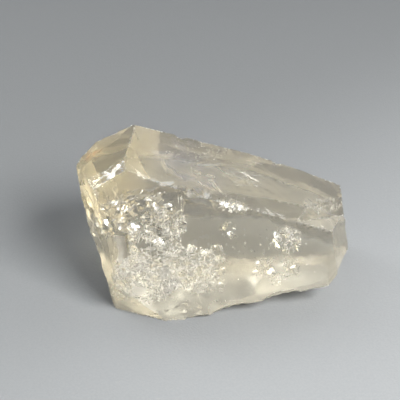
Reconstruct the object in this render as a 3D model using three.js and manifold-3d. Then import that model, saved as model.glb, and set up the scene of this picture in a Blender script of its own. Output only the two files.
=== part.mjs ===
// A rough topaz crystal lying on a table: one clear solid. Its top, its back and its pointed left end keep
// their flat natural faces. The front, the right end and the underside are broken, with swells, splinters,
// shell-shaped scoops and a notch. Millimetres, +Z up, +X along the crystal, the table at Z = 0.
import * as THREE from "three";
import { ConvexGeometry } from "three/addons/geometries/ConvexGeometry.js";
import { ImprovedNoise } from "three/addons/math/ImprovedNoise.js";
import { mergeVertices } from "three/addons/utils/BufferGeometryUtils.js";
import Module from "manifold-3d";

const wasm = await Module();
wasm.setup();

// ---- Driving dimensions -------------------------------------------------------------------------------

const HEART = new THREE.Vector3(0, 0, 10); // the faces are measured from here
const BLANK = new THREE.Vector3(52, 32, 30); // the block that the crystal is cut from
const CUTTER = 72; // side of each block that cuts it
const WELD = 1e-3; // corners closer than this are one corner
const SWAY = 0.3; // how far the corners of a broken face's net are shifted, in spacings of the net
const PROUD = 0.5; // how far a cutter stands out of the face that it bites into

// Each face: where its outward normal points (bearing from +X towards +Y, and rise above level, in
// degrees) and how far from the heart it lies. A face with a net is broken: its surface swells in and out
// on a net of that spacing. The others grew flat.
const FACES = [
  { name: "roof", bearing: -12.3, rise: 71.9, reach: 9.39 },
  { name: "shoulder", bearing: -85.9, rise: 36.1, reach: 10.72 },
  { name: "crown", bearing: 178.3, rise: 65.9, reach: 16.91 },
  { name: "crown_bevel", bearing: -160.4, rise: 66.9, reach: 16.85 },
  { name: "left_back", bearing: 166.6, rise: -10.8, reach: 17.22 },
  { name: "point_back_left", bearing: 145.8, rise: 0.3, reach: 18.02 },
  { name: "point_back", bearing: 104.5, rise: 15, reach: 13.72 },
  { name: "back_left", bearing: 87.3, rise: 14.2, reach: 10.64 },
  { name: "back_left_lower", bearing: 88.6, rise: 9.6, reach: 10.74 },
  { name: "back_right", bearing: 79.3, rise: 14.7, reach: 11.74 },
  { name: "back_right_lower", bearing: 77.4, rise: 8.2, reach: 11.9 },
  { name: "rest", bearing: 0, rise: -90, reach: HEART.z },
  { name: "front", bearing: -84.5, rise: 16.3, reach: 8.45, net: 0.95 },
  { name: "toe", bearing: -110.5, rise: -13.1, reach: 15.24, net: 1.2 },
  { name: "left_flank", bearing: -155.2, rise: -2.6, reach: 16.49, net: 0.9 },
  { name: "left_low", bearing: 171.6, rise: -29.7, reach: 15.8, net: 1.6 },
  { name: "back_low", bearing: 87.1, rise: -26.5, reach: 12.06, net: 1.6 },
  { name: "right_end", bearing: -1.1, rise: 6.6, reach: 23.27, net: 1.2 },
  { name: "end_bevel", bearing: -22.3, rise: 14.4, reach: 21.36, net: 1.2 },
  { name: "right_low", bearing: -12.8, rise: -39.4, reach: 20.39, net: 1.6 },
  { name: "under_right", bearing: -50.8, rise: -69.4, reach: 12.19, net: 1.6 },
];

// Shell-shaped scoops that blows took out: the middle of each on the surface, which way it faces, the
// radius of its rim and its depth.
const SCOOPS = [
  { name: "front_bowl", at: [-7.5, -10.2, 7.8], bearing: -84, rise: 16, rim: 5.6, depth: 0.5 },
  { name: "front_dish", at: [13.5, -8.3, 9.4], bearing: -84, rise: 20, rim: 4.6, depth: 0.45 },
  { name: "toe_shell", at: [-13.6, -11, 7.2], bearing: -125, rise: 0, rim: 2.4, depth: 0.4 },
  { name: "flank_shell", at: [-16.2, -3.9, 8], bearing: -156, rise: -4, rim: 3.4, depth: 0.5 },
  { name: "ridge_chip", at: [4.3, -6.5, 18], bearing: -80, rise: 48, rim: 1.7, depth: 0.5 },
  { name: "ridge_chip_small", at: [6.5, -6.2, 17.3], bearing: -80, rise: 48, rim: 1.2, depth: 0.35 },
  { name: "ridge_nick", at: [-1, -5.6, 19.8], bearing: -80, rise: 48, rim: 0.8, depth: 0.16 },
  { name: "back_nick", at: [-2.9, 7.9, 21.3], bearing: 80, rise: 50, rim: 0.6, depth: 0.1 },
  { name: "back_nick_middle", at: [13.2, 8.3, 16.2], bearing: 80, rise: 50, rim: 1.1, depth: 0.2 },
  { name: "end_corner_nick", at: [22.4, 7.3, 13.2], bearing: 45, rise: 45, rim: 1.2, depth: 0.35 },
  { name: "edge_bite", at: [0.4, -11.9, 0.5], bearing: -84, rise: -45, rim: 2.6, depth: 0.32 },
  { name: "edge_bite_middle", at: [6.2, -10.8, 2], bearing: -80, rise: -42, rim: 2.4, depth: 0.26 },
  { name: "edge_bite_right", at: [13, -9.6, 3.4], bearing: -75, rise: -40, rim: 2, depth: 0.26 },
  { name: "back_shell", at: [9.5, 11.2, 3.4], bearing: 82, rise: -14, rim: 5.6, depth: 1.1 },
  { name: "back_shell_small", at: [-5, 10.4, 3], bearing: 95, rise: -18, rim: 3.4, depth: 0.6 },
  { name: "end_shell", at: [23.6, 4.2, 7.6], bearing: 5, rise: 0, rim: 4.6, depth: 0.8 },
  { name: "left_low_shell", at: [-14, 4.6, 3.4], bearing: 171, rise: -28, rim: 3.6, depth: 0.8 },
  { name: "belly_shell", at: [14, 0.5, 1.2], bearing: -50, rise: -70, rim: 4.4, depth: 0.6 },
];
const RING = { height: 0.06, spacing: 1.5 }; // the rings that spread over each scoop from its rim
const BALL_EDGE = { least: 0.5, most: 1.3, perRim: 0.24 }; // side of the small triangles on a scoop

// The window, a shallow pit with a clear flat floor low on the left of the front: the corners of its rim.
const WINDOW = {
  rim: [
    [-13.5, -8.7, 14.5],
    [-11.2, -8.6, 14.2],
    [-10.6, -9.8, 10],
    [-12.8, -10, 10.2],
  ],
  depth: 0.32,
  narrowing: 0.8, // the floor's size over the rim's
};

// Growth ledges, where a broad thin layer of a natural face ends in a low step: the layer that is missing,
// by its middle on the face, its turn about the face's normal, its width and height and its depth.
const LEDGES = [
  { name: "back_ledge", face: "back_left", at: [-1, 11, 6.2], turn: 3, size: [30, 7, 0.16] },
  { name: "back_ledge_right", face: "back_right", at: [15, 9.4, 9.4], turn: -5, size: [13, 4.6, 0.16] },
  { name: "point_ledge", face: "point_back_left", at: [-15.5, 9.6, 9.6], turn: -9, size: [8, 7.5, 0.14] },
];

// The notch in the right end of the roof: its inner tip, the two corners of its back edge, the edge of the
// lip that stands in front of it, and its floor at the open end.
const NOTCH = {
  tip: [14.9, -5.8, 14.7],
  backCorner: [17.2, -1.2, 14.3],
  backEnd: [22.5, 2.5, 12.9],
  lipEnd: [22.1, -1.5, 12.7],
  floorEnd: [22.6, -0.8, 10.9],
  overshoot: 1.3, // the open end's corners are taken this much further from the tip
};

// Relief of broken surface: slow swells, a finer grain, and patches of splinters whose small facets lean
// all ways. A patch is stretched along one direction.
const SWELL = { height: 0.36, length: 6.5 };
const GRAIN = { height: 0.13, length: 2.3 };
const SPLINTERS = [
  { face: "front", at: [-8.8, -8, 15.8], half: [8.4, 5, 4.2], cell: 2, along: [0.2, 0, 1], stretch: 1.4, lean: 0.42 },
  { face: "left_flank", at: [-17.4, -1.6, 13], half: [5, 7, 4.6], cell: 1, along: [4, -8.6, -3.1], stretch: 4, lean: 0.6 },
];

// ---- Relief -------------------------------------------------------------------------------------------

const noise = new ImprovedNoise();

function smoothNoise(point, { height, length }) {
  return height * noise.noise(point.x / length, point.y / length, point.z / length);
}

// A repeatable number from 0 to 1 for a cell of space and a channel.
function cellNumber(cell, channel) {
  const mixed = Math.sin(cell.x * 127.1 + cell.y * 311.7 + cell.z * 74.7 + channel * 53.3) * 43758.5453;
  return mixed - Math.floor(mixed);
}

function cellVector(cell, channel) {
  const numbers = [0, 1, 2].map((step) => cellNumber(cell, channel + step));
  return new THREE.Vector3(...numbers);
}

// Space falls into cells round scattered seeds, and the surface leans its own way in each cell.
function leanAt(point, { cell: size, lean }) {
  const home = point.clone().divideScalar(size).floor();
  let nearest = { gap: Infinity };
  for (const x of [-1, 0, 1]) {
    for (const y of [-1, 0, 1]) {
      for (const z of [-1, 0, 1]) {
        const cell = home.clone().add(new THREE.Vector3(x, y, z));
        const seed = cellVector(cell, 1).add(cell).multiplyScalar(size);
        const gap = seed.distanceTo(point);
        if (gap < nearest.gap) nearest = { gap, cell, seed };
      }
    }
  }
  const slope = cellVector(nearest.cell, 4).subScalar(0.5).multiplyScalar(2 * lean);
  return slope.dot(point.clone().sub(nearest.seed));
}

// The height of a patch of splinters, which fades out towards the patch's rim.
function splinterHeight(point, patch) {
  const out = point.clone().sub(new THREE.Vector3(...patch.at));
  const reach = out.clone().divide(new THREE.Vector3(...patch.half)).length();
  const share = THREE.MathUtils.smoothstep(1 - reach, 0, 0.4);
  if (share === 0) return 0;
  const along = new THREE.Vector3(...patch.along).normalize();
  const squeezed = point.clone().addScaledVector(along, point.dot(along) * (1 / patch.stretch - 1));
  return share * leanAt(squeezed, patch);
}

function reliefAt(point, face) {
  let height = smoothNoise(point, SWELL) + smoothNoise(point, GRAIN);
  for (const patch of SPLINTERS) {
    if (patch.face === face.name) height += splinterHeight(point, patch);
  }
  return height;
}

// ---- Solids -------------------------------------------------------------------------------------------

function toSolid(geometry) {
  const bare = geometry.clone();
  bare.deleteAttribute("normal");
  bare.deleteAttribute("uv");
  const merged = mergeVertices(bare, WELD);
  return new wasm.Manifold(
    new wasm.Mesh({
      numProp: 3,
      vertProperties: merged.attributes.position.array,
      triVerts: new Uint32Array(merged.index.array),
    }),
  );
}

function toGeometry(solid) {
  const { vertProperties, triVerts } = solid.getMesh();
  const geometry = new THREE.BufferGeometry();
  geometry.setAttribute("position", new THREE.BufferAttribute(vertProperties, 3));
  geometry.setIndex(new THREE.BufferAttribute(triVerts, 1));
  geometry.computeVertexNormals();
  return geometry;
}

function normalOf({ bearing, rise }) {
  const turn = THREE.MathUtils.degToRad(bearing);
  const lift = THREE.MathUtils.degToRad(rise);
  const level = Math.cos(lift);
  return new THREE.Vector3(Math.cos(turn) * level, Math.sin(turn) * level, Math.sin(lift));
}

// Gives each corner of a geometry the place that move makes of it.
function moveCorners(geometry, move) {
  const corners = geometry.getAttribute("position");
  const corner = new THREE.Vector3();
  for (let i = 0; i < corners.count; i++) {
    corner.fromBufferAttribute(corners, i);
    move(corner);
    corners.setXYZ(i, corner.x, corner.y, corner.z);
  }
  return geometry;
}

// The space beyond a face, as a block whose near side is the face. A broken face's near side is an uneven
// net with relief.
function spaceBeyond(face) {
  const normal = normalOf(face);
  const foot = normal.clone().multiplyScalar(face.reach).add(HEART);
  const turn = new THREE.Quaternion().setFromUnitVectors(new THREE.Vector3(0, 0, 1), normal);
  const cuts = face.net ? Math.round(CUTTER / face.net) : 1;
  const block = new THREE.BoxGeometry(CUTTER, CUTTER, CUTTER, cuts, cuts, 1);
  block.translate(0, 0, CUTTER / 2);
  moveCorners(block, (corner) => {
    const inNet = face.net && corner.z < WELD && Math.max(Math.abs(corner.x), Math.abs(corner.y)) < CUTTER / 2 - WELD;
    if (inNet) {
      const shift = cellVector(corner.clone().divideScalar(face.net).round(), 7).subScalar(0.5);
      corner.addScaledVector(shift.setZ(0), 2 * SWAY * face.net);
    }
    corner.applyQuaternion(turn).add(foot);
    if (inNet) corner.addScaledVector(normal, reliefAt(corner, face));
  });
  return toSolid(block);
}

// The ball whose cap is a scoop, with rings that spread over it from one side of the scoop's rim.
function scoopBall(scoop) {
  const outward = normalOf(scoop);
  const radius = (scoop.rim ** 2 + scoop.depth ** 2) / (2 * scoop.depth);
  const centre = new THREE.Vector3(...scoop.at).addScaledVector(outward, radius - scoop.depth);
  const edge = THREE.MathUtils.clamp(scoop.rim * BALL_EDGE.perRim, BALL_EDGE.least, BALL_EDGE.most);
  const ball = new THREE.IcosahedronGeometry(radius, Math.round((1.1 * radius) / edge));
  const side = new THREE.Vector3(0, 0, 1).cross(outward).setLength(scoop.rim);
  const blow = new THREE.Vector3(...scoop.at).add(side);
  return toSolid(
    moveCorners(ball, (corner) => {
      const out = corner.clone().normalize();
      corner.add(centre);
      const phase = (2 * Math.PI * corner.distanceTo(blow)) / RING.spacing;
      corner.addScaledVector(out, RING.height * Math.sin(phase));
    }),
  );
}

// The window's space, from a little way out of the rim down to the narrower floor.
function windowWedge({ rim, depth, narrowing }) {
  const corners = rim.map((at) => new THREE.Vector3(...at));
  const middle = corners.reduce((sum, corner) => sum.add(corner), new THREE.Vector3()).divideScalar(rim.length);
  const outward = new THREE.Plane().setFromCoplanarPoints(corners[0], corners[2], corners[1]).normal;
  if (outward.dot(HEART.clone().sub(middle)) > 0) outward.negate();
  const wall = corners.map((corner) => corner.clone().sub(middle));
  const spread = (scale, height) =>
    wall.map((arm) => arm.clone().multiplyScalar(scale).add(middle).addScaledVector(outward, height));
  const flare = 1 + ((1 - narrowing) * PROUD) / depth;
  return toSolid(new ConvexGeometry([...spread(flare, PROUD), ...spread(narrowing, -depth)]));
}

function ledgeBlock({ face: faceName, at, turn, size: [width, height, depth] }) {
  const face = FACES.find(({ name }) => name === faceName);
  const outward = normalOf(face);
  const middle = new THREE.Vector3(...at).sub(HEART).projectOnPlane(outward);
  middle.addScaledVector(outward, face.reach).add(HEART);
  const block = new THREE.BoxGeometry(width, height, depth + PROUD);
  block.translate(0, 0, (PROUD - depth) / 2);
  block.rotateZ(THREE.MathUtils.degToRad(turn));
  const frame = new THREE.Matrix4().lookAt(outward, new THREE.Vector3(), new THREE.Vector3(0, 0, 1));
  block.applyMatrix4(frame).translate(...middle.toArray());
  return toSolid(block);
}

// The notch is the space between its edge on the roof and its floor.
function notchWedge({ tip, backCorner, backEnd, lipEnd, floorEnd, overshoot }) {
  const start = new THREE.Vector3(...tip);
  const beyond = (end) => new THREE.Vector3(...end).sub(start).multiplyScalar(overshoot).add(start);
  const edge = [start, new THREE.Vector3(...backCorner), beyond(backEnd), beyond(lipEnd)];
  const above = edge.map((corner) => corner.clone().setZ(corner.z + PROUD * 6));
  return toSolid(new ConvexGeometry([...edge, ...above, beyond(floorEnd)]));
}

function cutCrystal() {
  const blank = new THREE.BoxGeometry(...BLANK.toArray()).translate(0, 0, BLANK.z / 2 - 1);
  let crystal = toSolid(blank);
  for (const face of FACES) crystal = crystal.subtract(spaceBeyond(face));
  for (const scoop of SCOOPS) crystal = crystal.subtract(scoopBall(scoop));
  for (const ledge of LEDGES) crystal = crystal.subtract(ledgeBlock(ledge));
  return crystal.subtract(windowWedge(WINDOW)).subtract(notchWedge(NOTCH));
}

// ---- The crystal --------------------------------------------------------------------------------------

function makeCrystal() {
  const geometry = toGeometry(cutCrystal());
  geometry.computeBoundingBox();
  const middle = geometry.boundingBox.getCenter(new THREE.Vector3());
  geometry.translate(-middle.x, -middle.y, 0);
  const clearTopaz = new THREE.MeshStandardMaterial({
    color: 0xd9cfae,
    roughness: 0.18,
    metalness: 0,
    flatShading: true,
  });
  const crystal = new THREE.Mesh(geometry, clearTopaz);
  crystal.name = "topaz_crystal";
  return crystal;
}

const part = new THREE.Group();
part.add(makeCrystal());

export default part;
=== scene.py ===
"""Rough topaz crystal: a clear straw-coloured piece with flat grown faces, broken sides, silvery inner
cracks and a milky veil, lying on a pale table. Lengths are in metres; settings are in millimetres."""

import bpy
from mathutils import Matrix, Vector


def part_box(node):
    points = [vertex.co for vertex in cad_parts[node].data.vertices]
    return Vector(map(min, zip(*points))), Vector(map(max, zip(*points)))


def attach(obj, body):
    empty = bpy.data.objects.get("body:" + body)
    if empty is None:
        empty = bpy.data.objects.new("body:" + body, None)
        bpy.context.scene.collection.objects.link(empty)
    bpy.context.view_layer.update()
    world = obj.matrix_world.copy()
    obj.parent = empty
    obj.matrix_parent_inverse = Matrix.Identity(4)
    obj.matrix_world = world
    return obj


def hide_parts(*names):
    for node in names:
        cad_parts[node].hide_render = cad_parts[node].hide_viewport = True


bl_info = {
    "name": "Rough Topaz Crystal",
    "version": (1, 0, 0),
    "blender": (4, 5, 0),
    "location": "3D View > Sidebar > Topaz",
    "description": "Builds a rough topaz crystal with its inner cracks, and a table with studio light",
    "category": "Object",
}

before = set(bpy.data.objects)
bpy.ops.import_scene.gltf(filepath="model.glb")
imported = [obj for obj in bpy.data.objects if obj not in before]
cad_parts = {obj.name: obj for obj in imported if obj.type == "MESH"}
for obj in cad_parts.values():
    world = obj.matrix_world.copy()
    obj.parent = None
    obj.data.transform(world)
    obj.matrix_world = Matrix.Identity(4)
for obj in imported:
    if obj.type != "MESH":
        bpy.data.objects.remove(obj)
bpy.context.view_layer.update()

import math
import random
from typing import NamedTuple

import bmesh
import bpy
from mathutils import Matrix, Vector, noise
from mathutils.bvhtree import BVHTree
from mathutils.kdtree import KDTree

CRYSTAL = "topaz_crystal"
MM = 0.001
LOW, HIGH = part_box(CRYSTAL)
SIZE = HIGH - LOW


def spot(along, across, up):
    """The point at these shares of the crystal's length, width and height."""
    return LOW + Vector((along * SIZE.x, across * SIZE.y, up * SIZE.z))


MIDDLE = spot(0.4476, 0.5046, 0.6144)  # the middle of the camera's view
CAMERA_RISE = math.radians(35)
CAMERA_DISTANCE = 150.0  # mm


# ---- Settings -----------------------------------------------------------------------------------------


class TopazCrystalSettings(bpy.types.PropertyGroup):
    """The crystal's own surface"""

    flat_area: bpy.props.FloatProperty(
        name="Flat Area",
        description="A flat face larger than this grew; smaller ones are parts of a broken surface, in mm2",
        default=3.5,
        min=0.5,
    )
    grain_depth: bpy.props.FloatProperty(
        name="Grain Depth",
        description="Depth of the fine relief on broken surfaces, in mm",
        default=0.1,
        min=0.0,
        max=0.4,
    )
    wear_depth: bpy.props.FloatProperty(
        name="Wear Depth",
        description="How deep the small chips along the edges go, in mm",
        default=0.22,
        min=0.0,
        max=0.5,
    )
    straw: bpy.props.FloatVectorProperty(
        name="Straw",
        description="Colour that is left of white light deep inside the crystal",
        subtype="COLOR",
        size=3,
        default=(0.8, 0.775, 0.7),
        min=0.0,
        max=1.0,
    )


class TopazStageSettings(bpy.types.PropertyGroup):
    """The table, the light and the camera"""

    camera_rise: bpy.props.FloatProperty(
        name="Camera Rise",
        description="How far above level the camera stands, seen from the crystal",
        default=CAMERA_RISE,
        subtype="ANGLE",
    )
    camera_distance: bpy.props.FloatProperty(
        name="Camera Distance",
        description="From the camera to the middle of its view, in mm",
        default=CAMERA_DISTANCE,
        min=50.0,
    )
    table: bpy.props.FloatVectorProperty(
        name="Table",
        description="Colour of the table, which the strong key light makes pale",
        subtype="COLOR",
        size=3,
        default=(0.104, 0.1085, 0.1115),
        min=0.0,
        max=1.0,
    )


# ---- Shared helpers -----------------------------------------------------------------------------------


def new_piece(name, mesh_data):
    """An object at the origin for a finished bmesh."""
    mesh = bpy.data.meshes.new(name)
    mesh_data.to_mesh(mesh)
    mesh_data.free()
    piece = bpy.data.objects.new(name, mesh)
    bpy.context.scene.collection.objects.link(piece)
    return piece


def add_bmesh(whole, extra):
    """Joins a bmesh to another and frees it."""
    mesh = bpy.data.meshes.new("extra")
    extra.to_mesh(mesh)
    extra.free()
    whole.from_mesh(mesh)
    bpy.data.meshes.remove(mesh)


def random_direction(rng):
    """A direction drawn evenly from all round."""
    return Vector((rng.gauss(0, 1), rng.gauss(0, 1), rng.gauss(0, 1))).normalized()


# ---- The crystal's surface ----------------------------------------------------------------------------

WORN_REACH = 0.32  # how far from an edge its wear reaches, mm
FINE_REACH = WORN_REACH + 0.1  # how far from an edge the faces are smaller, mm
EDGE_STEP = 0.15  # the spacing of the points that mark the edges, mm
FLATTEST_EDGE = math.radians(6)  # flatter folds beside a grown face aren't edges
SHARPEST_SOFT = math.radians(24)  # flatter folds of a broken surface are rounded
SHADING_EDGE = math.radians(26)  # sharper folds are shaded sharp
SAME_PLANE = math.radians(1)  # faces that turn less than this are joined inside a grown face
GRID_SHARE = 0.5  # the crystal's length over the width of the grid that its even faces come from
GRID_DEPTH = 8  # how often that grid is halved: its cells are then 0.34 mm wide
SAME_WAY = 0.99  # a fine face lies in a grown face when the cosine between their directions is more
FLATTENING_ROUNDS = 6  # of moving points onto the planes of the grown faces
ROUNDING_ROUNDS = 8  # of smoothing the broken surfaces' flatter folds

# The relief, in waves to a millimetre: of the broken surfaces, of the chips along the edges, and of the
# stretches of an edge that are more or less chipped.
RELIEF_WAVES = 0.45
CHIP_WAVES = 1.9
STRETCH_WAVES = 0.33
# Which sides are dull: broken ones that look down or back, and the flat underside to a lesser degree.
LOOKS_DOWN = -0.3
LOOKS_BACK = 0.5
LOOKS_STRAIGHT_DOWN = -0.9
UNDERSIDE_DULL = 0.4


def cad_copy():
    """The crystal's solid as one closed bmesh of triangles."""
    solid = bmesh.new()
    solid.from_mesh(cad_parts[CRYSTAL].data)
    bmesh.ops.remove_doubles(solid, verts=solid.verts, dist=1e-6)
    bmesh.ops.triangulate(solid, faces=solid.faces)
    solid.faces.ensure_lookup_table()
    return solid


def grown_faces(solid, least_area):
    """The indices of the triangles that lie in a large flat face, which grew and didn't break."""
    areas = {}
    keys = []
    for face in solid.faces:
        n = face.normal
        reach = n.dot(face.calc_center_median()) / MM
        key = (round(n.x, 2), round(n.y, 2), round(n.z, 2), round(reach, 1))
        keys.append(key)
        areas[key] = areas.get(key, 0.0) + face.calc_area() / MM**2
    return {index for index, key in enumerate(keys) if areas[key] > least_area}


def edge_points(solid, grown):
    """A tree of points along the edges of the grown faces."""
    points = []
    for edge in solid.edges:
        if not any(face.index in grown for face in edge.link_faces):
            continue
        if edge.calc_face_angle(0.0) < FLATTEST_EDGE:
            continue
        start, end = (vert.co for vert in edge.verts)
        steps = max(1, round(edge.calc_length() / (EDGE_STEP * MM)))
        points += [start.lerp(end, step / steps) for step in range(steps + 1)]
    tree = KDTree(len(points))
    for index, point in enumerate(points):
        tree.insert(point, index)
    tree.balance()
    return tree


def fine_mesh(solid, grown, worn_edges):
    """The solid with small even faces, smaller ones along worn edges, and few inside the grown faces."""
    piece = new_piece("fine", solid.copy())
    remesh = piece.modifiers.new("fine", "REMESH")
    remesh.mode = "SHARP"
    remesh.octree_depth = GRID_DEPTH
    remesh.scale = GRID_SHARE
    remesh.use_remove_disconnected = True
    graph = bpy.context.evaluated_depsgraph_get()
    fine = bmesh.new()
    fine.from_mesh(piece.evaluated_get(graph).to_mesh())
    bpy.data.objects.remove(piece)
    mark = fine.faces.layers.int.new("grown")
    tree = BVHTree.FromBMesh(solid)
    planes = {}
    for face in fine.faces:
        near, normal, index, _gap = tree.find_nearest(face.calc_center_median())
        if index in grown and normal.dot(face.normal) > SAME_WAY:
            face[mark] = 1
            for vert in face.verts:
                planes.setdefault(vert, []).append((near, normal))
    for vert, sides in planes.items():
        for _ in range(FLATTENING_ROUNDS):
            for near, normal in sides:
                vert.co -= normal * (vert.co - near).dot(normal)
    at_edge = {vert for vert in fine.verts if worn_edges.find(vert.co)[2] < FINE_REACH * MM}
    flat = [vert for vert in fine.verts if all(face[mark] for face in vert.link_faces)]
    inside = [vert for vert in flat if vert not in at_edge]
    between = [edge for edge in fine.edges if all(face[mark] for face in edge.link_faces)]
    between = [edge for edge in between if not any(vert in at_edge for vert in edge.verts)]
    worn = [edge for edge in fine.edges if all(vert in at_edge for vert in edge.verts)]
    bmesh.ops.subdivide_edges(fine, edges=worn, cuts=1, use_grid_fill=True)
    inside = [vert for vert in inside if vert.is_valid]
    between = [edge for edge in between if edge.is_valid]
    bmesh.ops.dissolve_limit(fine, angle_limit=SAME_PLANE, verts=inside, edges=between)
    bmesh.ops.triangulate(fine, faces=fine.faces)
    return fine, mark


def soften_broken(solid, grown):
    """Rounds the flatter folds of the broken surfaces."""
    soft = []
    for vert in solid.verts:
        if any(face[grown] for face in vert.link_faces):
            continue
        if max(edge.calc_face_angle(0.0) for edge in vert.link_edges) < SHARPEST_SOFT:
            soft.append(vert)
    for _ in range(ROUNDING_ROUNDS):
        bmesh.ops.smooth_vert(
            solid, verts=soft, factor=0.5, use_axis_x=True, use_axis_y=True, use_axis_z=True
        )


def add_relief(solid, grown, worn_edges, settings):
    """Gives broken surfaces their fine relief, and chips the edges of the grown faces."""
    broken = solid.verts.layers.float.new("broken")
    worn = solid.verts.layers.float.new("worn")
    dull = solid.verts.layers.float.new("dull")
    solid.normal_update()
    moves = []
    for vert in solid.verts:
        p = vert.co / MM
        depth = 0.0
        if not any(face[grown] for face in vert.link_faces):
            vert[broken] = 1.0
            relief = noise.fractal(p * RELIEF_WAVES, 0.6, 2.1, 2)
            depth += settings.grain_depth * max(0.0, 0.5 + 0.5 * relief)
        if vert[broken] > 0 and (vert.normal.z < LOOKS_DOWN or vert.normal.y > LOOKS_BACK):
            vert[dull] = 1.0
        elif vert.normal.z < LOOKS_STRAIGHT_DOWN:
            vert[dull] = UNDERSIDE_DULL
        share = 1 - worn_edges.find(vert.co)[2] / (WORN_REACH * MM)
        if share > 0:
            stretch = noise.noise(p * STRETCH_WAVES)
            chips = noise.fractal(p * CHIP_WAVES, 0.5, 2.0, 3)
            chip = share * max(0.0, 0.12 + 0.55 * chips + 0.4 * stretch)
            depth += settings.wear_depth * chip
            vert[worn] = min(1.0, 4.0 * chip)
        moves.append((vert, vert.normal * depth * MM))
    for vert, move in moves:
        vert.co -= move


def keep_in_box(solid):
    """Brings points that stand out of the solid's box back to it."""
    for vert in solid.verts:
        for axis in range(3):
            vert.co[axis] = min(max(vert.co[axis], LOW[axis]), HIGH[axis])


# ---- The cracks inside the crystal --------------------------------------------------------------------

IOR = 1.62
EYE = CAMERA_DISTANCE * Vector((0, -math.cos(CAMERA_RISE), math.sin(CAMERA_RISE)))  # from MIDDLE, mm
UPWARDS = Vector((0, math.sin(CAMERA_RISE), math.cos(CAMERA_RISE)))  # up across the front
# The middles of the bright lights that the cracks reflect, from MIDDLE, mm.
WINDOW = (-330, 190, 260)
HIGH_LEFT = (-122, 200, 324)
HIGH_RIGHT = (152, 194, 315)
LIGHT_CONE = math.radians(9)  # how far from one of them a crack's reflection may point and be bright
DOWNWARDS = -0.3  # a direction with less height than this looks at the table
# The cosines between a crack's facing and the line of sight: below the first it stands edge-on, and above
# the second it doesn't throw back all the light.
GLANCING = (0.25, 0.77)
FACING_TRIES = 400  # how many random facings are tried before a crack takes any
SURFACE_MEETINGS = 3  # how often a crack's reflection may meet the crystal's surface, way out included

CRACK_SEED = 3  # which set of random cracks
CRACK_GAP = 0.03  # how wide the cracks gape, mm
CRACK_CLEAR = 0.07  # how far they stay under the surface, mm; the tips of steep grains come nearer
CRACK_RAGGED = 0.4  # how ragged a crack's rim is, as a share of its size
ZONE_RAGGED = 0.7  # how ragged a zone's outline is, as a share of its size
ZONE_WAVES = 1.4  # the larger this is, the more lobes that outline has
ZONE_CROWDING = 0.6  # at 0.5 a zone is evenly filled, and above it the middle is fuller
LEAST_FACES = 4  # a crack that is cut down to fewer faces is left out
MILKY = 0.45  # a crack duller than this has milky walls
GRAIN_FLATNESS = 0.15  # a grain's thickness over its length
GRAIN_SINK = 0.7  # a grain's middle lies deeper than CRACK_CLEAR by this share of half its length
GRAIN_BATCH = 300  # the points of a batch of grains, which is quick to add to
GRAINS = dict(dull=0.6, squares=0)  # what makes a zone one of grains


class CrackZone(NamedTuple):
    """A group of cracks under the front, and how they look"""

    name: str
    middle: tuple  # to the right of MIDDLE, and up across the front, mm
    half: tuple  # half its width and height, mm
    depth: tuple  # under the surface, mm
    count: int
    size: tuple  # half a crack's length, mm
    width: tuple  # a crack's width over its length
    run: float  # the way they run across the front, in degrees from rightwards
    stray: float  # how far they stray from it, in degrees
    bright: float = 0.9  # the share that reflects a bright light
    dark: float = 0.0  # the share that reflects the table
    dull: float = 0.0  # from 0, smooth and clear, to 1
    wave: float = 0.05  # how wavy a sheet is
    squares: int = 6  # a sheet's squares along each side, or 0 for grains in place of sheets


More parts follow.
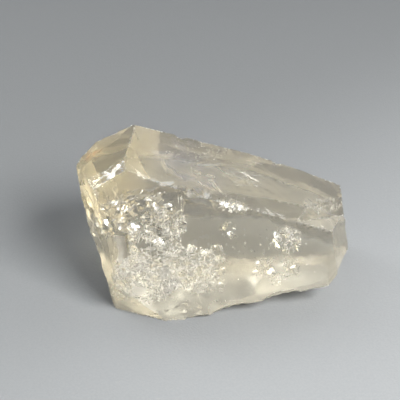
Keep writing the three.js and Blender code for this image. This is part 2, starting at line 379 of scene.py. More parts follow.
CRACK_ZONES = (
    # name, middle, half, depth, count, size, width, run, stray
    CrackZone("splinters", (-9.6, -3.6), (7.2, 4.2), (0.2, 2.6), 190, (0.3, 1.2), (0.12, 0.6), 35, 50),
    CrackZone(
        "splinters_right", (-5.0, -4.5), (2.6, 3.4), (0.2, 1.8), 80, (0.3, 1.0), (0.2, 0.8), 60, 60,
        squares=7,
    ),
    CrackZone(
        "veil", (-6.0, -11.0), (8.8, 5.2), (0.15, 1.8), 170, (0.4, 1.3), (0.3, 0.9), -20, 60,
        bright=0.8, dull=0.6, wave=0.04, squares=5,
    ),
    CrackZone(
        "veil_grains", (-6.2, -11.0), (9.4, 5.1), (0.12, 0.8), 3200, (0.08, 0.3), (0.3, 0.9), -20, 60,
        **GRAINS,
    ),
    CrackZone(
        "spark_upper", (14.0, -6.3), (2.0, 1.9), (0.2, 1.6), 30, (0.25, 1.1), (0.3, 0.9), 60, 60,
        bright=0.95, dull=0.1, squares=5,
    ),
    CrackZone(
        "spark_lower", (12.2, -11.0), (3.2, 2.0), (0.2, 1.6), 34, (0.25, 1.0), (0.3, 0.9), 30, 60,
        bright=0.95, dull=0.2, squares=5,
    ),
    CrackZone(
        "spark_middle", (2.8, -9.2), (1.6, 3.0), (0.2, 1.4), 30, (0.2, 0.7), (0.2, 0.9), 80, 60,
        bright=0.95, dull=0.2,
    ),
    CrackZone(
        "spark_ridge", (4.4, -4.8), (1.4, 1.2), (0.2, 1.2), 16, (0.2, 0.8), (0.2, 0.9), 0, 90,
        bright=0.95, dull=0.2,
    ),
    CrackZone(
        "chip", (5.1, -0.7), (2.4, 1.0), (0.12, 0.7), 40, (0.25, 0.9), (0.2, 0.8), -12, 40,
        bright=0.95, dull=0.2, squares=5,
    ),
    CrackZone(
        "shoulder_grains", (-5.6, -4.4), (3.4, 3.4), (0.1, 1.2), 460, (0.08, 0.32), (0.3, 0.9), 60, 60,
        bright=0.95, **GRAINS,
    ),
    CrackZone(
        "scattered", (8.5, -8.0), (9.5, 6.0), (0.1, 2.5), 150, (0.06, 0.2), (0.3, 0.9), 20, 80,
        **GRAINS,
    ),
    CrackZone(
        "ripples", (-9.6, -11.6), (4.0, 1.7), (0.09, 0.2), 16, (1.2, 2.8), (0.03, 0.08), -14, 12,
        dark=0.3, bright=0.5, wave=0.06, squares=10,
    ),
    CrackZone(
        "spark_grains", (14.0, -6.3), (2.3, 2.1), (0.1, 0.6), 420, (0.08, 0.34), (0.3, 0.9), 60, 60,
        bright=0.95, **GRAINS,
    ),
    CrackZone(
        "spark_low_grains", (12.2, -11.0), (3.4, 2.2), (0.1, 0.6), 460, (0.08, 0.28), (0.3, 0.9), 30, 60,
        bright=0.95, **GRAINS,
    ),
    CrackZone(
        "chip_grains", (5.1, -0.7), (2.4, 1.1), (0.1, 0.4), 240, (0.08, 0.3), (0.3, 0.9), -12, 40,
        bright=0.95, **GRAINS,
    ),
    CrackZone(
        "notch_grains", (19.3, -0.9), (2.9, 1.1), (0.1, 0.4), 420, (0.08, 0.3), (0.3, 0.9), 70, 40,
        bright=0.95, **GRAINS,
    ),
    CrackZone(
        "flank", (-17.3, -2.4), (1.3, 4.2), (0.12, 0.7), 44, (0.5, 2.2), (0.05, 0.22), -62, 9,
        wave=0.04,
    ),
    CrackZone(
        "upright", (-3.2, -1.0), (0.9, 2.2), (0.12, 0.6), 12, (0.6, 1.8), (0.04, 0.1), 88, 5,
        wave=0.03,
    ),
    CrackZone(
        "roof_brushes", (7.1, 3.6), (2.2, 1.5), (0.12, 0.5), 18, (0.3, 1.1), (0.08, 0.3), -15, 20,
        dull=0.6, wave=0.04, squares=7,
    ),
    CrackZone(
        "roof_line", (-2.3, 5.9), (0.4, 0.1), (0.12, 0.2), 3, (0.9, 1.4), (0.04, 0.07), 0, 3,
        bright=1.0, dull=0.2, wave=0.02,
    ),
    CrackZone(
        "roof_seam", (8.7, 6.0), (0.3, 0.4), (0.12, 0.3), 4, (0.7, 1.5), (0.04, 0.08), -49, 6,
        bright=0.0, dull=0.6, wave=0.03,
    ),
    CrackZone(
        "notch", (19.5, -1.0), (2.8, 0.9), (0.12, 0.4), 20, (0.25, 0.9), (0.1, 0.5), 70, 30,
        bright=0.95, dull=0.3, squares=5,
    ),
    CrackZone(
        "notch_seam", (18.7, -2.9), (1.6, 0.15), (0.12, 0.3), 6, (0.8, 2.0), (0.04, 0.08), 8, 5,
        bright=0.0, dull=0.6, wave=0.03,
    ),
    CrackZone(
        "window_left", (-14.3, -7.8), (0.25, 1.5), (0.15, 0.6), 8, (0.5, 1.5), (0.06, 0.15), 80, 12,
        wave=0.03,
    ),
    CrackZone(
        "window_right", (-11.0, -7.6), (0.3, 1.8), (0.15, 0.6), 12, (0.5, 1.5), (0.06, 0.2), 72, 14,
        wave=0.03,
    ),
    CrackZone(
        "window_pane", (-12.7, -7.6), (0.2, 0.2), (0.7, 0.9), 1, (2.3, 2.4), (0.85, 0.95), 80, 10,
        dark=1.0, bright=0.0, wave=0.015, squares=10,
    ),
    CrackZone(
        "roof_veils", (2.0, 4.4), (9.0, 3.2), (0.3, 3.0), 14, (1.2, 3.2), (0.12, 0.4), -18, 12,
        bright=0.0, wave=0.03, squares=8,
    ),
    CrackZone(
        "roof_grains", (7.3, 3.5), (2.8, 1.9), (0.1, 0.8), 140, (0.08, 0.35), (0.1, 0.3), -15, 20,
        **GRAINS,
    ),
    CrackZone(
        "roof_mist", (0.6, 7.4), (5.6, 1.7), (0.3, 2.0), 220, (0.05, 0.18), (0.2, 0.6), -18, 20,
        **GRAINS,
    ),
    CrackZone(
        "foot", (-2.6, -17.2), (3.4, 1.0), (0.12, 0.6), 24, (0.25, 1.0), (0.08, 0.4), -8, 20,
        bright=0.8, dull=0.3, wave=0.04,
    ),
)

# The patches of the front that stay clear of cracks: their middles and half sizes, as in CrackZone.
CLEAR_PATCHES = (
    ((-12.9, -7.4), (1.9, 2.4)),
    ((-13.1, -4.9), (1.0, 0.7)),
    ((-9.2, -6.9), (1.3, 0.7)),
)


def crack_sheet(zone, rng):
    """One crack: a thin, wavy, ragged sheet round the origin, in mm."""
    size = rng.uniform(*zone.size)
    sheet = bmesh.new()
    bmesh.ops.create_grid(sheet, x_segments=zone.squares, y_segments=zone.squares, size=size)
    offset = Vector((rng.uniform(0, 99), rng.uniform(0, 99), rng.uniform(0, 99)))
    width = rng.uniform(*zone.width)
    outside = []
    for vert in sheet.verts:
        p = vert.co.copy()
        rim = 1.12 + CRACK_RAGGED * noise.noise(p.normalized() * 1.7 + offset)
        if p.length > size * rim:
            outside.append(vert)
        vert.co.y *= width
        vert.co.z = zone.wave * size * noise.fractal(p * (1.1 / size) + offset, 0.7, 2.2, 4)
    bmesh.ops.delete(sheet, geom=outside, context="VERTS")
    return sheet


def add_grain(grains, tree, place, turn, zone, rng):
    """Adds one grain, a flat double pyramid, unless it would come too near the surface."""
    size = rng.uniform(*zone.size)
    width = rng.uniform(*zone.width)
    if tree.find_nearest(place)[3] < (GRAIN_SINK * size + CRACK_CLEAR) * MM:
        return
    inside_out = Matrix.Diagonal((size, size * width, -size * GRAIN_FLATNESS, 1))
    shape = Matrix.Translation(place) @ turn @ inside_out
    bmesh.ops.create_uvsphere(grains, u_segments=5, v_segments=2, radius=MM, matrix=shape)


def kept_clear(right, up):
    """Whether this place across the front and up it lies in one of the clear patches."""
    for middle, half in CLEAR_PATCHES:
        if ((right - middle[0]) / half[0]) ** 2 + ((up - middle[1]) / half[1]) ** 2 < 1:
            return True
    return False


def bend(direction, normal, ratio):
    """The direction of light that has crossed a surface, or None if the surface throws it back."""
    cosine = -direction.dot(normal)
    rest = 1 - ratio**2 * (1 - cosine**2)
    if rest < 0:
        return None
    return (ratio * direction + (ratio * cosine - math.sqrt(rest)) * normal).normalized()


def lying(facing, run):
    """The turn that makes a flat sheet face this way and run at this angle across the front."""
    across = math.cos(run) * Vector((1, 0, 0)) + math.sin(run) * UPWARDS
    length = (across - facing * across.dot(facing)).normalized()
    return Matrix((length, facing.cross(length), facing)).transposed().to_4x4()


def look_in(tree, right, up, depth):
    """A point this deep inside the front, at this place across it and up it, and the direction of the
    line of sight to it."""
    eye = MIDDLE + EYE * MM
    ahead = (MIDDLE + Vector((right * MM, 0, 0)) + UPWARDS * up * MM - eye).normalized()
    hit, normal, _face, _gap = tree.ray_cast(eye, ahead)
    if hit is None:
        return None, None
    sight = bend(ahead, normal, 1 / IOR)
    return hit + sight * depth * MM, sight


def reflection(tree, place, sight, facing):
    """Where the eye looks by way of a crack that faces this way: the direction in which the reflection
    leaves the crystal, thrown back inside it a few times at most. None if it doesn't."""
    if not GLANCING[0] < abs(sight.dot(facing)) < GLANCING[1]:
        return None
    direction = sight.reflect(facing)
    for _ in range(SURFACE_MEETINGS):
        place, normal, _face, _gap = tree.ray_cast(place + direction * 1e-6, direction)
        if place is None:
            return None
        out = bend(direction, -normal, IOR)
        if out:
            return out
        direction = direction.reflect(normal)
    return None


def crack_facing(tree, place, sight, zone, rng):
    """Which way a crack faces: so that it reflects the table, so that it reflects a bright light, or at
    random."""
    kind = rng.random()
    if kind >= zone.dark + zone.bright:
        return random_direction(rng)
    for _ in range(FACING_TRIES):
        facing = random_direction(rng)
        out = reflection(tree, place, sight, facing)
        if out is None:
            continue
        if kind < zone.dark:
            fits = out.z < DOWNWARDS
        else:
            fits = any(out.angle(Vector(light)) < LIGHT_CONE for light in (WINDOW, HIGH_LEFT, HIGH_RIGHT))
        if fits:
            return facing
    return random_direction(rng)


def trim_to_inside(sheet, tree):
    """Cuts off what stands out of the crystal or comes too near its surface."""
    bare = []
    for vert in sheet.verts:
        near, normal, _face, gap = tree.find_nearest(vert.co)
        inside = (vert.co - near).dot(normal) < 0
        if not inside or gap < CRACK_CLEAR * MM:
            bare.append(vert)
    bmesh.ops.delete(sheet, geom=bare, context="VERTS")


def add_sheet(cracks, tree, place, turn, zone, rng):
    """Adds one crack in the form of a sheet, as a thin hollow whose faces point into it."""
    sheet = crack_sheet(zone, rng)
    sheet.transform(Matrix.Translation(place) @ turn @ Matrix.Scale(MM, 4))
    trim_to_inside(sheet, tree)
    if len(sheet.faces) < LEAST_FACES:
        sheet.free()
        return
    bmesh.ops.solidify(sheet, geom=sheet.faces[:], thickness=CRACK_GAP * MM)
    bmesh.ops.recalc_face_normals(sheet, faces=sheet.faces)
    bmesh.ops.reverse_faces(sheet, faces=sheet.faces)
    add_bmesh(cracks, sheet)


def place_in(zone, rng):
    """A random place in a zone, whose outline is uneven: to the right and up across the front, mm."""
    angle = rng.uniform(0, math.tau)
    edge = Vector((ZONE_WAVES * math.cos(angle), ZONE_WAVES * math.sin(angle), zone.middle[0]))
    reach = rng.uniform(0, 1) ** ZONE_CROWDING * (1 + ZONE_RAGGED * noise.noise(edge))
    right = zone.middle[0] + zone.half[0] * reach * math.cos(angle)
    up = zone.middle[1] + zone.half[1] * reach * math.sin(angle)
    return right, up


def inner_cracks(surface):
    """All the cracks inside a surface, as one bmesh of hollows whose faces point into them. Their points
    have the value 1 and their dullness in the layer "crack"."""
    cracks = bmesh.new()
    crack = cracks.verts.layers.float.new("crack")
    tree = BVHTree.FromBMesh(surface)
    for zone in CRACK_ZONES:
        rng = random.Random(f"{zone.name} {CRACK_SEED}")
        first = len(cracks.verts)
        grains = bmesh.new()
        for _ in range(zone.count):
            right, up = place_in(zone, rng)
            place, sight = look_in(tree, right, up, rng.uniform(*zone.depth))
            if place is None or (zone.dark < 1 and kept_clear(right, up)):
                continue
            facing = crack_facing(tree, place, sight, zone, rng)
            turn = lying(facing, math.radians(zone.run + rng.uniform(-1, 1) * zone.stray))
            if zone.squares:
                add_sheet(cracks, tree, place, turn, zone, rng)
                continue
            add_grain(grains, tree, place, turn, zone, rng)
            if len(grains.verts) > GRAIN_BATCH:
                add_bmesh(cracks, grains)
                grains = bmesh.new()
        add_bmesh(cracks, grains)
        cracks.verts.ensure_lookup_table()
        for vert in cracks.verts[first:]:
            vert[crack] = 1.0 + zone.dull
    return cracks


class TOPAZ_OT_crystal(bpy.types.Operator):
    """Build the crystal with its worn edges, broken surfaces and inner cracks"""

    bl_idname = "topaz.crystal"
    bl_label = "Topaz Crystal"

    def execute(self, context):
        settings = context.scene.topaz_crystal
        coarse = cad_copy()
        flats = grown_faces(coarse, settings.flat_area)
        worn_edges = edge_points(coarse, flats)
        solid, grown = fine_mesh(coarse, flats, worn_edges)
        coarse.free()
        soften_broken(solid, grown)
        add_relief(solid, grown, worn_edges, settings)
        keep_in_box(solid)
        solid.verts.layers.float.new("crack")
        add_bmesh(solid, inner_cracks(solid))
        piece = new_piece("topaz_crystal_body", solid)
        flat = piece.data.attributes["grown"].data
        for polygon in piece.data.polygons:
            polygon.use_smooth = not flat[polygon.index].value
        piece.data.set_sharp_from_angle(angle=SHADING_EDGE)
        piece.data.materials.append(topaz_material(settings))
        piece.data.materials.append(fracture_material())
        cracked = piece.data.attributes["crack"].data
        for polygon in piece.data.polygons:
            polygon.material_index = int(cracked[polygon.vertices[0]].value > 1.0 + MILKY)
        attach(piece, "root")
        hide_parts(CRYSTAL)
        return {"FINISHED"}


# ---- Materials ----------------------------------------------------------------------------------------


def link(tree, source, target):
    """Joins two sockets."""
    tree.links.new(source, target)


def node(tree, kind, **settings):
    """A new shader node with its plain properties set."""
    made = tree.nodes.new(kind)
    for name, value in settings.items():
        setattr(made, name, value)
    return made


NOISE_ROUGHNESS = 0.55


def noise_at(tree, coordinates, scale, detail=4.0, roughness=NOISE_ROUGHNESS):
    """Noise from 0 to 1 with this many bumps to a metre."""
    made = node(tree, "ShaderNodeTexNoise")
    made.inputs["Scale"].default_value = scale
    made.inputs["Detail"].default_value = detail
    made.inputs["Roughness"].default_value = roughness
    link(tree, coordinates, made.inputs["Vector"])
    return made.outputs["Fac"]


def fine_grain_group():
    """The node group for fine grain, built once: a height from 0 to 1 over the surface."""
    built = bpy.data.node_groups.get("fine_grain")
    if built:
        return built
    group = bpy.data.node_groups.new("fine_grain", "ShaderNodeTree")
    group.interface.new_socket("Place", in_out="INPUT", socket_type="NodeSocketVector")
    group.interface.new_socket("Bumps to a Metre", in_out="INPUT", socket_type="NodeSocketFloat")
    group.interface.new_socket("Detail", in_out="INPUT", socket_type="NodeSocketFloat")
    group.interface.new_socket("Height", in_out="OUTPUT", socket_type="NodeSocketFloat")
    given = node(group, "NodeGroupInput")
    grain = node(group, "ShaderNodeTexNoise")
    grain.inputs["Roughness"].default_value = NOISE_ROUGHNESS
    link(group, given.outputs["Place"], grain.inputs["Vector"])
    link(group, given.outputs["Bumps to a Metre"], grain.inputs["Scale"])
    link(group, given.outputs["Detail"], grain.inputs["Detail"])
    result = node(group, "NodeGroupOutput")
    link(group, grain.outputs["Fac"], result.inputs["Height"])
    return group


def fine_grain(tree, place, bumps, detail):
    """The height of a material's fine grain, with this many bumps to a metre."""
    made = node(tree, "ShaderNodeGroup", node_tree=fine_grain_group())
    made.inputs["Bumps to a Metre"].default_value = bumps
    made.inputs["Detail"].default_value = detail
    link(tree, place, made.inputs["Place"])
    return made.outputs["Height"]


def remap(tree, value, low, high, to_low=0.0, to_high=1.0, smooth=False):
    """A value brought from one range to another, and kept inside it."""
    made = node(tree, "ShaderNodeMapRange")
    if smooth:
        made.interpolation_type = "SMOOTHSTEP"
    made.inputs["From Min"].default_value = low
    made.inputs["From Max"].default_value = high
    made.inputs["To Min"].default_value = to_low
    made.inputs["To Max"].default_value = to_high
    link(tree, value, made.inputs["Value"])
    return made.outputs["Result"]


def calculate(tree, operation, first, second):
    """A sum, product or the like of two values, either of which may be a plain number."""
    made = node(tree, "ShaderNodeMath", operation=operation)
    for index, value in enumerate((first, second)):
        if isinstance(value, (int, float)):
            made.inputs[index].default_value = value
        else:
            link(tree, value, made.inputs[index])
    return made.outputs["Value"]


def mix_values(tree, share, first, second):
    """From the first value to a plain second one, by this share."""
    made = node(tree, "ShaderNodeMix")
    link(tree, share, made.inputs["Factor"])
    link(tree, first, made.inputs["A"])
    made.inputs["B"].default_value = second
    return made.outputs["Result"]


def mix_colours(tree, share, first, second):
    """From the first colour to the second one, by this share."""
    made = node(tree, "ShaderNodeMix", data_type="RGBA")
    link(tree, share, made.inputs["Factor"])
    for socket, value in ((made.inputs[6], first), (made.inputs[7], second)):
        if isinstance(value, tuple):
            socket.default_value = (*value, 1)
        else:
            link(tree, value, socket)
    return made.outputs[2]


def attribute(tree, name):
    """A layer of the mesh's points, by name."""
    made = node(tree, "ShaderNodeAttribute", attribute_name=name)
    return made.outputs["Fac"]


def nearness(tree, place, middle, far, near):
    """1 up to this near to a point, 0 from this far on, in mm."""
    gap = node(tree, "ShaderNodeVectorMath", operation="DISTANCE")
    link(tree, place, gap.inputs[0])
    gap.inputs[1].default_value = middle
    return remap(tree, gap.outputs["Value"], far * MM, near * MM, smooth=True)


PALE_STRAW = (0.975, 0.945, 0.86)
GOLD = (0.965, 0.875, 0.63)
RUST = (0.85, 0.42, 0.16)
WORN_WHITE = (0.99, 0.98, 0.96)


def topaz_colour(tree, place, worn):
    """Pale straw, golden towards the crown's point, with a rusty stain on its left and white worn edges."""
    golden = nearness(tree, place, spot(0.02, 0.5, 0.98), far=14, near=3)
    colour = mix_colours(tree, golden, PALE_STRAW, GOLD)
    stained = nearness(tree, place, spot(0.061, 0.65, 0.884), far=2.6, near=0.4)
    blotches = remap(tree, noise_at(tree, place, 900.0), 0.42, 0.62)
    colour = mix_colours(tree, calculate(tree, "MULTIPLY", stained, blotches), colour, RUST)
    return mix_colours(tree, worn, colour, WORN_WHITE)


class Patch(NamedTuple):
    """A part of the surface: its middle and its reach along x, y and z, in mm"""

    name: str
    middle: tuple
    reach: tuple


# Where the broken front is frosted over fine fractures, where it is clear, and where a grown face is
# smooth.
FROSTED = (
    Patch("cloud", (-9, -9.5, 8.6), (9, 9, 6)),
    Patch("spark_upper", (9.5, -7, 12.1), (2.8, 3, 3)),
    Patch("spark_lower", (9.5, -8.3, 7.5), (4, 4, 2.6)),
    Patch("spark_middle", (1.6, -8.4, 10.2), (2, 3, 3.5)),
    Patch("ridge_chip", (3, -5.7, 17.8), (2.6, 2, 1.2)),
)
CLEAR = (
    Patch("shoulder", (-9, -7.5, 17.2), (9, 6, 4.6)),
    Patch("window", (-14.6, -9.5, 12.2), (2.6, 5, 3.0)),
)
POLISHED = (Patch("crown_bevel", (-17.2, 0.5, 18.8), (5.0, 4.5, 4.5)),)

# How rough each kind of surface is at most; a grown face lies between two values.
GROWN_ROUGH = (0.04, 0.2)
POLISHED_ROUGH = 0.03
BROKEN_ROUGH = 0.28
FROSTED_ROUGH = 0.2
DULL_ROUGH = 0.5
WORN_ROUGH = 0.32
CRACK_ROUGH = 0.12
# How deep the relief of each kind of surface is, mm.
RIPPLE_DEPTH = 0.008
MILKY_RIPPLE_DEPTH = 0.01
CLEAR_GRAIN_DEPTH = 0.004
FROSTED_GRAIN_DEPTH = 0.03
SCRATCH_DEPTH = 0.03
GROWTH_DEPTH = 0.0003

CRACK_BUMPS = 2600.0  # the ripples on a crack, to a metre
CLEAR_TRANSMISSION = 0.96
MILKY_TRANSMISSION = 0.5
MILK_DEEP = (0.9, 0.89, 0.86)
MILK_PALE = (1.0, 0.99, 0.97)
ABSORPTION = 90.0  # how dense the crystal's own colour is, to a metre


def in_patches(tree, place, patches):
    """How far inside any of these patches a place is: 1 well inside, 0 outside, with a ragged rim."""
    total = None
    edge = remap(tree, noise_at(tree, place, 420.0, 5.0, 0.65), 0.2, 0.8, -0.7, 0.7)
    for patch in patches:
        fitted = node(tree, "ShaderNodeMapping", label=patch.name)
        fitted.inputs["Scale"].default_value = [1 / (reach * MM) for reach in patch.reach]
        shift = [-middle / reach for middle, reach in zip(patch.middle, patch.reach)]
        fitted.inputs["Location"].default_value = shift
        link(tree, place, fitted.inputs["Vector"])
        span = node(tree, "ShaderNodeVectorMath", operation="LENGTH")
        link(tree, fitted.outputs["Vector"], span.inputs[0])
        ragged = calculate(tree, "ADD", span.outputs["Value"], edge)
        share = remap(tree, ragged, 1.1, 0.7, smooth=True)
        total = share if total is None else calculate(tree, "MAXIMUM", total, share)
    return total


def topaz_roughness(tree, place, frost):
    """Smooth on the grown faces, hazy on the broken ones, and dull where it is frosted, worn or hidden."""
    brushed = node(tree, "ShaderNodeMapping")
    brushed.inputs["Scale"].default_value = (0.2, 1.0, 1.0)
    brushed.inputs["Rotation"].default_value = (0, 0.3, -0.3)
    link(tree, place, brushed.inputs["Vector"])
    brushes = noise_at(tree, brushed.outputs["Vector"], 700.0, detail=3.0)
    rough = remap(tree, brushes, 0.37, 0.67, *GROWN_ROUGH)
    rough = mix_values(tree, in_patches(tree, place, POLISHED), rough, POLISHED_ROUGH)
    clear = calculate(tree, "SUBTRACT", 1.0, in_patches(tree, place, CLEAR))
    haze = remap(tree, noise_at(tree, place, 300.0), 0.35, 0.65, 0.7, 1.0)
    haze = calculate(tree, "MULTIPLY", haze, clear)
    haze = calculate(tree, "MULTIPLY", haze, remap(tree, attribute(tree, "broken"), 0, 1, 0, BROKEN_ROUGH))
    rough = calculate(tree, "MAXIMUM", rough, haze)
    rough = calculate(tree, "MAXIMUM", rough, remap(tree, frost, 0, 1, 0, FROSTED_ROUGH))
    rough = calculate(tree, "MAXIMUM", rough, remap(tree, attribute(tree, "dull"), 0, 1, 0, DULL_ROUGH))
    rough = calculate(tree, "MAXIMUM", rough, remap(tree, attribute(tree, "worn"), 0, 1, 0, WORN_ROUGH))
    return calculate(tree, "MAXIMUM", rough, remap(tree, attribute(tree, "crack"), 1, 2, 0, CRACK_ROUGH))


def topaz_relief(tree, place, frost):
    """Ripples on the cracks, grain on the broken faces, scratches on worn edges and faint growth hillocks
    all over, in mm."""
    ripple_depth = remap(tree, attribute(tree, "crack"), 0.9, 2, 0, RIPPLE_DEPTH)
    ripples = calculate(tree, "MULTIPLY", fine_grain(tree, place, CRACK_BUMPS, 3.0), ripple_depth)
    grain_depth = remap(tree, frost, 0, 1, CLEAR_GRAIN_DEPTH, FROSTED_GRAIN_DEPTH)
    grain_depth = calculate(tree, "MULTIPLY", grain_depth, attribute(tree, "broken"))
    grain = calculate(tree, "MULTIPLY", noise_at(tree, place, 1500.0, 5.0, 0.6), grain_depth)
    scratch_depth = remap(tree, attribute(tree, "worn"), 0, 1, 0, SCRATCH_DEPTH)
    scratches = calculate(tree, "MULTIPLY", noise_at(tree, place, 2200.0), scratch_depth)
    growth = calculate(tree, "MULTIPLY", noise_at(tree, place, 260.0, detail=3.0), GROWTH_DEPTH)
    height = calculate(tree, "ADD", ripples, grain)
    height = calculate(tree, "ADD", height, scratches)
    return calculate(tree, "ADD", height, growth)


def add_bump(tree, shader, height, distance):
    """Bumps a shader by a height, whose unit is this many metres."""
    bump = node(tree, "ShaderNodeBump")
    bump.inputs["Distance"].default_value = distance
    link(tree, height, bump.inputs["Height"])
    link(tree, bump.outputs["Normal"], shader.inputs["Normal"])


def topaz_material(settings):
    """The clear stone, with its colour, its absorption and its kinds of surface."""
    material = bpy.data.materials.new("straw_topaz")
    material.use_nodes = True
    tree = material.node_tree
    shader = tree.nodes["Principled BSDF"]
    shader.inputs["IOR"].default_value = IOR
    shader.inputs["Transmission Weight"].default_value = CLEAR_TRANSMISSION
    place = node(tree, "ShaderNodeTexCoord").outputs["Object"]
    link(tree, topaz_colour(tree, place, attribute(tree, "worn")), shader.inputs["Base Color"])
    uneven = remap(tree, noise_at(tree, place, 500.0, 6.0, 0.7), 0.4, 0.6)
    frost = calculate(tree, "MULTIPLY", in_patches(tree, place, FROSTED), uneven)
    link(tree, topaz_roughness(tree, place, frost), shader.inputs["Roughness"])
    add_bump(tree, shader, topaz_relief(tree, place, frost), MM)
    volume = node(tree, "ShaderNodeVolumeAbsorption")
    volume.inputs["Color"].default_value = (*settings.straw, 1)
    volume.inputs["Density"].default_value = ABSORPTION
    link(tree, volume.outputs["Volume"], tree.nodes["Material Output"].inputs["Volume"])
    return material


def fracture_material():
    """The milky walls of the fine fractures, which scatter light."""
    material = bpy.data.materials.new("milky_fracture")
    material.use_nodes = True
    tree = material.node_tree
    shader = tree.nodes["Principled BSDF"]
    shader.inputs["IOR"].default_value = IOR
    shader.inputs["Transmission Weight"].default_value = MILKY_TRANSMISSION
    place = node(tree, "ShaderNodeTexCoord").outputs["Object"]
    mottle = remap(tree, noise_at(tree, place, 1200.0), 0.35, 0.65)
    link(tree, mix_colours(tree, mottle, MILK_DEEP, MILK_PALE), shader.inputs["Base Color"])
    uneven = noise_at(tree, place, 700.0, detail=3.0)
    link(tree, remap(tree, uneven, 0.3, 0.7, 0.15, 0.4), shader.inputs["Roughness"])
    add_bump(tree, shader, fine_grain(tree, place, CRACK_BUMPS, 3.0), MILKY_RIPPLE_DEPTH * MM)
    return material


PAINTED_LIGHT_SLOPE = (0.8, -1.0, 0)  # the way in which the painted pool of light on the table grows stronger
PAINTED_LIGHT_SPAN = (-60, 40)  # between these distances along it, mm
PAINTED_LIGHT_SHADES = (0.82, 1.2)  # from this share of its colour, in painted shade, to this one, in painted light
PAPER_SPECKLE = 0.04
PAPER_ROUGH = 0.65
PAPER_BUMPS = 3000.0  # to a metre
PAPER_RELIEF = 0.03  # mm


def table_material(settings):
    """Fine-grained pale paper with a painted pool of light: its colour grows lighter towards the front
    right.
    """
    material = bpy.data.materials.new("table")
    material.use_nodes = True
    tree = material.node_tree
    shader = tree.nodes["Principled BSDF"]
    place = node(tree, "ShaderNodeTexCoord").outputs["Object"]
    # Painted light and shade: the paper's colour grows lighter towards the front right and darker towards
    # the back left, as the light falls
    along = node(tree, "ShaderNodeVectorMath", operation="DOT_PRODUCT")
    link(tree, place, along.inputs[0])
    along.inputs[1].default_value = PAINTED_LIGHT_SLOPE
    painted_light_share = remap(tree, along.outputs["Value"], PAINTED_LIGHT_SPAN[0] * MM, PAINTED_LIGHT_SPAN[1] * MM, smooth=True)
    dark, light = (tuple(shade * value for value in settings.table) for shade in PAINTED_LIGHT_SHADES)
    colour = mix_colours(tree, painted_light_share, dark, light)
    fibres = fine_grain(tree, place, PAPER_BUMPS, 2.0)
    speckle = remap(tree, fibres, 0.3, 0.7, -PAPER_SPECKLE, PAPER_SPECKLE)
    grain = node(tree, "ShaderNodeHueSaturation")
    link(tree, calculate(tree, "ADD", speckle, 1.0), grain.inputs["Value"])
    link(tree, colour, grain.inputs["Color"])
    link(tree, grain.outputs["Color"], shader.inputs["Base Color"])
    shader.inputs["Roughness"].default_value = PAPER_ROUGH
    add_bump(tree, shader, fibres, PAPER_RELIEF * MM)
    return material


# ---- The stage ----------------------------------------------------------------------------------------

SKY = 0.37  # how bright the room is all round
SKY_COLOUR = (0.96, 0.98, 1.0, 1)
LIGHT_BOUNCES = 32  # how many times light may be thrown on, enough to get through the cracks
TABLE_SIZE = 1.2  # half its width, m
# The air between the table and the crystal's underside, mm: stones touch a table at a few points only.
TABLE_GAP = 0.06

# The lights: where each stands from MIDDLE (mm), its width and height (mm), how bright its face is (watts
# to a square metre and steradian), and its colour.
LIGHTS = (
    dict(name="key", at=(165, -165, 235), size=(150, 150), glow=64.0, colour=(1, 0.99, 0.97)),
    dict(name="window", at=WINDOW, size=(150, 150), glow=18.0, colour=(0.97, 0.99, 1)),
    dict(name="high_left", at=HIGH_LEFT, size=(150, 150), glow=5.0, colour=(0.93, 0.97, 1)),
    dict(name="high_right", at=HIGH_RIGHT, size=(150, 150), glow=5.0, colour=(0.93, 0.97, 1)),
    dict(name="pale_sky", at=(121, 275, 207), size=(44, 16), glow=1.0, colour=(0.6, 0.66, 1)),
    dict(name="window_left_pane", at=(-202.7, 231.7, 184.9), size=(8, 5), glow=40.0, colour=(1, 1, 1)),
    dict(name="window_right_pane", at=(-193.9, 234.4, 189.5), size=(10, 6.6), glow=40.0, colour=(1, 1, 1)),
)


def area_light(name, at, size, glow, colour):
    """A rectangular light that faces MIDDLE."""
    light = bpy.data.lights.new(name, "AREA")
    light.shape = "RECTANGLE"
    light.size = size[0] * MM
    light.size_y = size[1] * MM
    light.energy = glow * math.pi * light.size * light.size_y
    light.color = colour
    lamp = bpy.data.objects.new(name, light)
    lamp.location = MIDDLE + Vector(at) * MM
    lamp.rotation_mode = "QUATERNION"
    lamp.rotation_quaternion = Vector(at).to_track_quat("Z", "Y")
    bpy.context.scene.collection.objects.link(lamp)
    return lamp


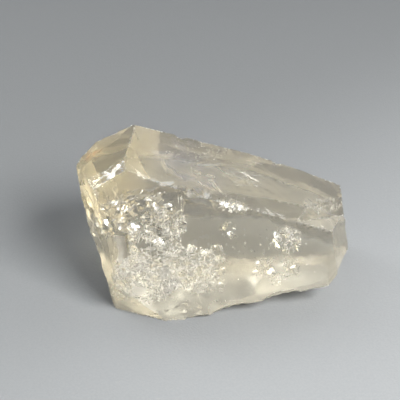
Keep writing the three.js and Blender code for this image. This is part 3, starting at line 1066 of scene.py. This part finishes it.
class TOPAZ_OT_stage(bpy.types.Operator):
    """Set the table, the lights and the camera"""

    bl_idname = "topaz.stage"
    bl_label = "Table, Lights and Camera"

    def execute(self, context):
        settings = context.scene.topaz_stage
        grid = bmesh.new()
        below = Matrix.Translation((0, 0, LOW.z - TABLE_GAP * MM))
        bmesh.ops.create_grid(grid, x_segments=1, y_segments=1, size=TABLE_SIZE, matrix=below)
        table = new_piece("table", grid)
        table.data.materials.append(table_material(settings))
        world = bpy.data.worlds.new("studio")
        world.use_nodes = True
        tree = world.node_tree
        background = tree.nodes["Background"]
        background.inputs["Color"].default_value = SKY_COLOUR
        background.inputs["Strength"].default_value = SKY
        context.scene.world = world
        for light in LIGHTS:
            area_light(**light)
        rise = settings.camera_rise
        away = Vector((0, -math.cos(rise), math.sin(rise)))
        camera = bpy.data.objects.new("camera", bpy.data.cameras.new("camera"))
        camera.data.lens = 85
        camera.data.sensor_width = 36
        camera.data.clip_start = 0.01
        camera.location = MIDDLE + away * settings.camera_distance * MM
        camera.rotation_euler = away.to_track_quat("Z", "Y").to_euler()
        context.scene.collection.objects.link(camera)
        context.scene.camera = camera
        context.scene.view_settings.view_transform = "Standard"
        paths = context.scene.cycles
        paths.max_bounces = LIGHT_BOUNCES
        paths.diffuse_bounces = LIGHT_BOUNCES
        paths.glossy_bounces = LIGHT_BOUNCES
        paths.transmission_bounces = LIGHT_BOUNCES
        return {"FINISHED"}


class TOPAZ_PT_panel(bpy.types.Panel):
    """Builds the crystal piece by piece"""

    bl_idname = "TOPAZ_PT_panel"
    bl_label = "Topaz"
    bl_space_type = "VIEW_3D"
    bl_region_type = "UI"
    bl_category = "Topaz"

    def draw(self, context):
        self.layout.operator("topaz.stage")
        self.layout.operator("topaz.crystal")


CLASSES = (TopazCrystalSettings, TopazStageSettings, TOPAZ_OT_crystal, TOPAZ_OT_stage, TOPAZ_PT_panel)


def register():
    """Makes the settings, the operators and the panel known to Blender."""
    for cls in CLASSES:
        bpy.utils.register_class(cls)
    bpy.types.Scene.topaz_crystal = bpy.props.PointerProperty(type=TopazCrystalSettings)
    bpy.types.Scene.topaz_stage = bpy.props.PointerProperty(type=TopazStageSettings)


def unregister():
    """Takes them away again."""
    del bpy.types.Scene.topaz_stage
    del bpy.types.Scene.topaz_crystal
    for cls in reversed(CLASSES):
        bpy.utils.unregister_class(cls)


def main():
    """Builds the scene."""
    register()
    bpy.ops.topaz.stage()
    bpy.ops.topaz.crystal()


if __name__ == "__main__":
    main()
